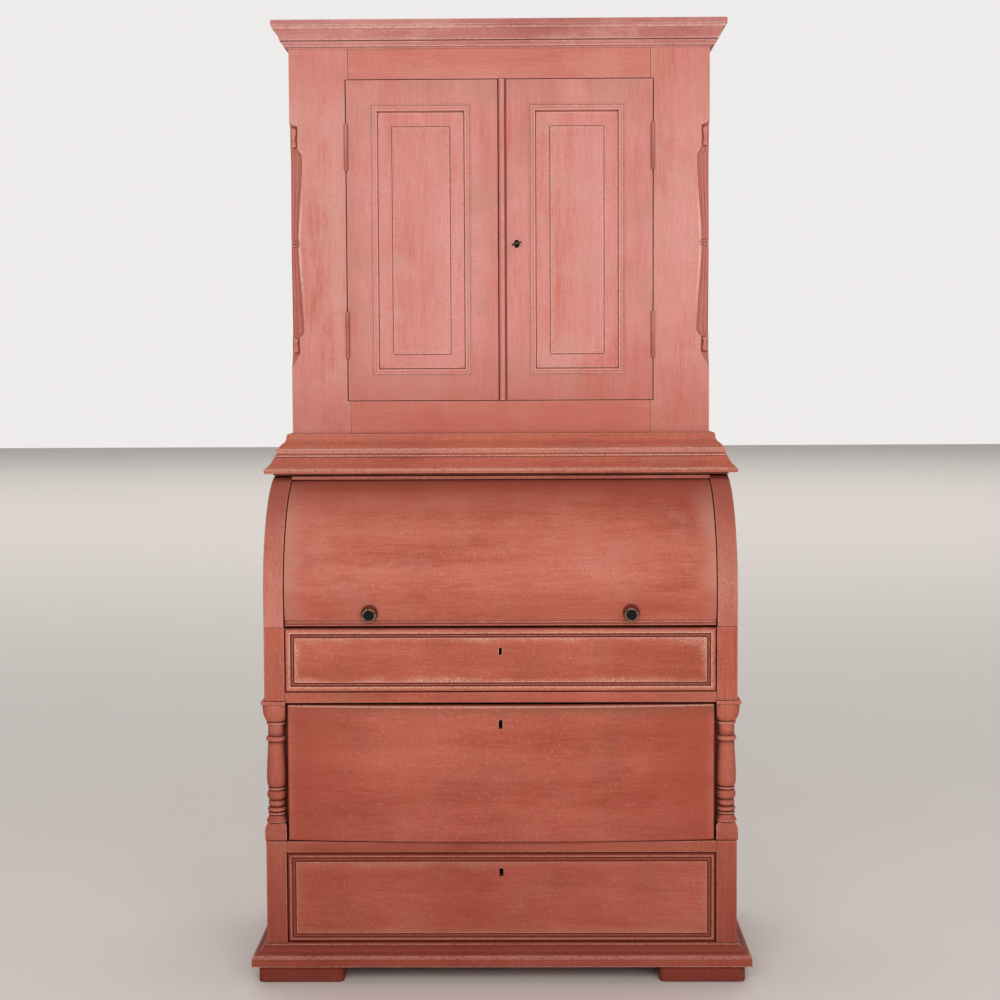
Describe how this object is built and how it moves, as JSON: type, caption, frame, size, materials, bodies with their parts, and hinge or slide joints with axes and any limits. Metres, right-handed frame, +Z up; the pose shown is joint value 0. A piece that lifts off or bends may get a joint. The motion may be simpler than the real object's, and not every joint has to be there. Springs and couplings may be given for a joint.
{
  "type": "bureau bookcase",
  "caption": "Painted pine bureau bookcase: a roll-back cylinder fall over a pigeonholed desk, long drawers between turned columns, and a panelled two-door cupboard with a moulded cornice",
  "frame": {"origin": "on the floor, at the middle of the outline", "axes": "+Z up, -Y the front with the fall and the doors, +X to the right of someone facing the front"},
  "size_m": [1.111, 0.592, 2.154],
  "materials": {
    "pink_paint": "dry salmon pink paint over pine, rubbed and glazed",
    "terracotta_paint": "dry terracotta paint over pine, rubbed and glazed",
    "bare_pine": "aged bare pine",
    "black_paint": "black paint on turned wood",
    "dark_iron": "dark worn iron"
  },
  "bodies": {
    "carcase": {"bottom_board": "terracotta_paint", "bureau_back": "bare_pine", "bureau_top": "terracotta_paint", "cabinet_back": "bare_pine", "cabinet_bottom_rail": "pink_paint", "cabinet_floor": "bare_pine", "cabinet_top": "bare_pine", "cabinet_top_rail": "pink_paint", "cornice": "pink_paint", "fall_head_rail": "terracotta_paint", "front_left_foot": "terracotta_paint", "front_right_foot": "terracotta_paint", "left_cabinet_side": "pink_paint", "left_cabinet_stile": "pink_paint", "left_column": "terracotta_paint", "left_corner_post": "terracotta_paint", "left_cylinder_cheek": "terracotta_paint", "left_gable": "terracotta_paint", "lower_dustboard": "terracotta_paint", "lower_left_hinge_pin_leaf": "dark_iron", "lower_right_hinge_pin_leaf": "dark_iron", "lower_shelf": "bare_pine", "pigeonhole_case": "bare_pine", "plinth_moulding": "terracotta_paint", "rear_left_foot": "terracotta_paint", "rear_right_foot": "terracotta_paint", "right_cabinet_side": "pink_paint", "right_cabinet_stile": "pink_paint", "right_column": "terracotta_paint", "right_corner_post": "terracotta_paint", "right_cylinder_cheek": "terracotta_paint", "right_gable": "terracotta_paint", "upper_dustboard": "terracotta_paint", "upper_left_hinge_pin_leaf": "dark_iron", "upper_right_hinge_pin_leaf": "dark_iron", "upper_shelf": "bare_pine", "waist_moulding": "terracotta_paint", "writing_bed": "bare_pine"},
    "fall": {"cylinder_fall": "terracotta_paint", "left_fall_knob": "black_paint", "right_fall_knob": "black_paint", "left_fall_arm": "dark_iron", "right_fall_arm": "dark_iron"},
    "top_drawer": {"top_drawer_front": "terracotta_paint", "top_drawer_box": "bare_pine"},
    "deep_drawer": {"deep_drawer_front": "terracotta_paint", "deep_drawer_box": "bare_pine"},
    "bottom_drawer": {"bottom_drawer_front": "terracotta_paint", "bottom_drawer_box": "bare_pine"},
    "left_door": {"left_door_frame": "pink_paint", "left_door_panel": "pink_paint", "lower_left_hinge_door_leaf": "dark_iron", "upper_left_hinge_door_leaf": "dark_iron"},
    "right_door": {"right_door_frame": "pink_paint", "right_door_panel": "pink_paint", "meeting_bead": "pink_paint", "cabinet_lock": "dark_iron", "lower_right_hinge_door_leaf": "dark_iron", "upper_right_hinge_door_leaf": "dark_iron"},
    "key": {"cabinet_key": "dark_iron"}
  },
  "joints": [
    {"name": "fall_turn", "type": "hinge", "parent": "carcase", "child": "fall", "pos_m": [0, -0.008, 0.8625], "axis": [-1, 0, 0], "range_deg": [0, 76]},
    {"name": "top_drawer_slide", "type": "slide", "parent": "carcase", "child": "top_drawer", "axis": [0, -1, 0], "range_m": [0, 0.33]},
    {"name": "deep_drawer_slide", "type": "slide", "parent": "carcase", "child": "deep_drawer", "axis": [0, -1, 0], "range_m": [0, 0.35]},
    {"name": "bottom_drawer_slide", "type": "slide", "parent": "carcase", "child": "bottom_drawer", "axis": [0, -1, 0], "range_m": [0, 0.35]},
    {"name": "left_door_hinge", "type": "hinge", "parent": "carcase", "child": "left_door", "pos_m": [-0.352, -0.0282, 1.655], "axis": [0, 0, -1], "range_deg": [0, 105]},
    {"name": "right_door_hinge", "type": "hinge", "parent": "carcase", "child": "right_door", "pos_m": [0.352, -0.0282, 1.655], "axis": [0, 0, 1], "range_deg": [0, 105]},
    {"name": "key_turn", "type": "hinge", "parent": "right_door", "child": "key", "pos_m": [0.039, -0.024, 1.648], "axis": [0, 1, 0], "range_deg": [0, 90]}
  ]
}
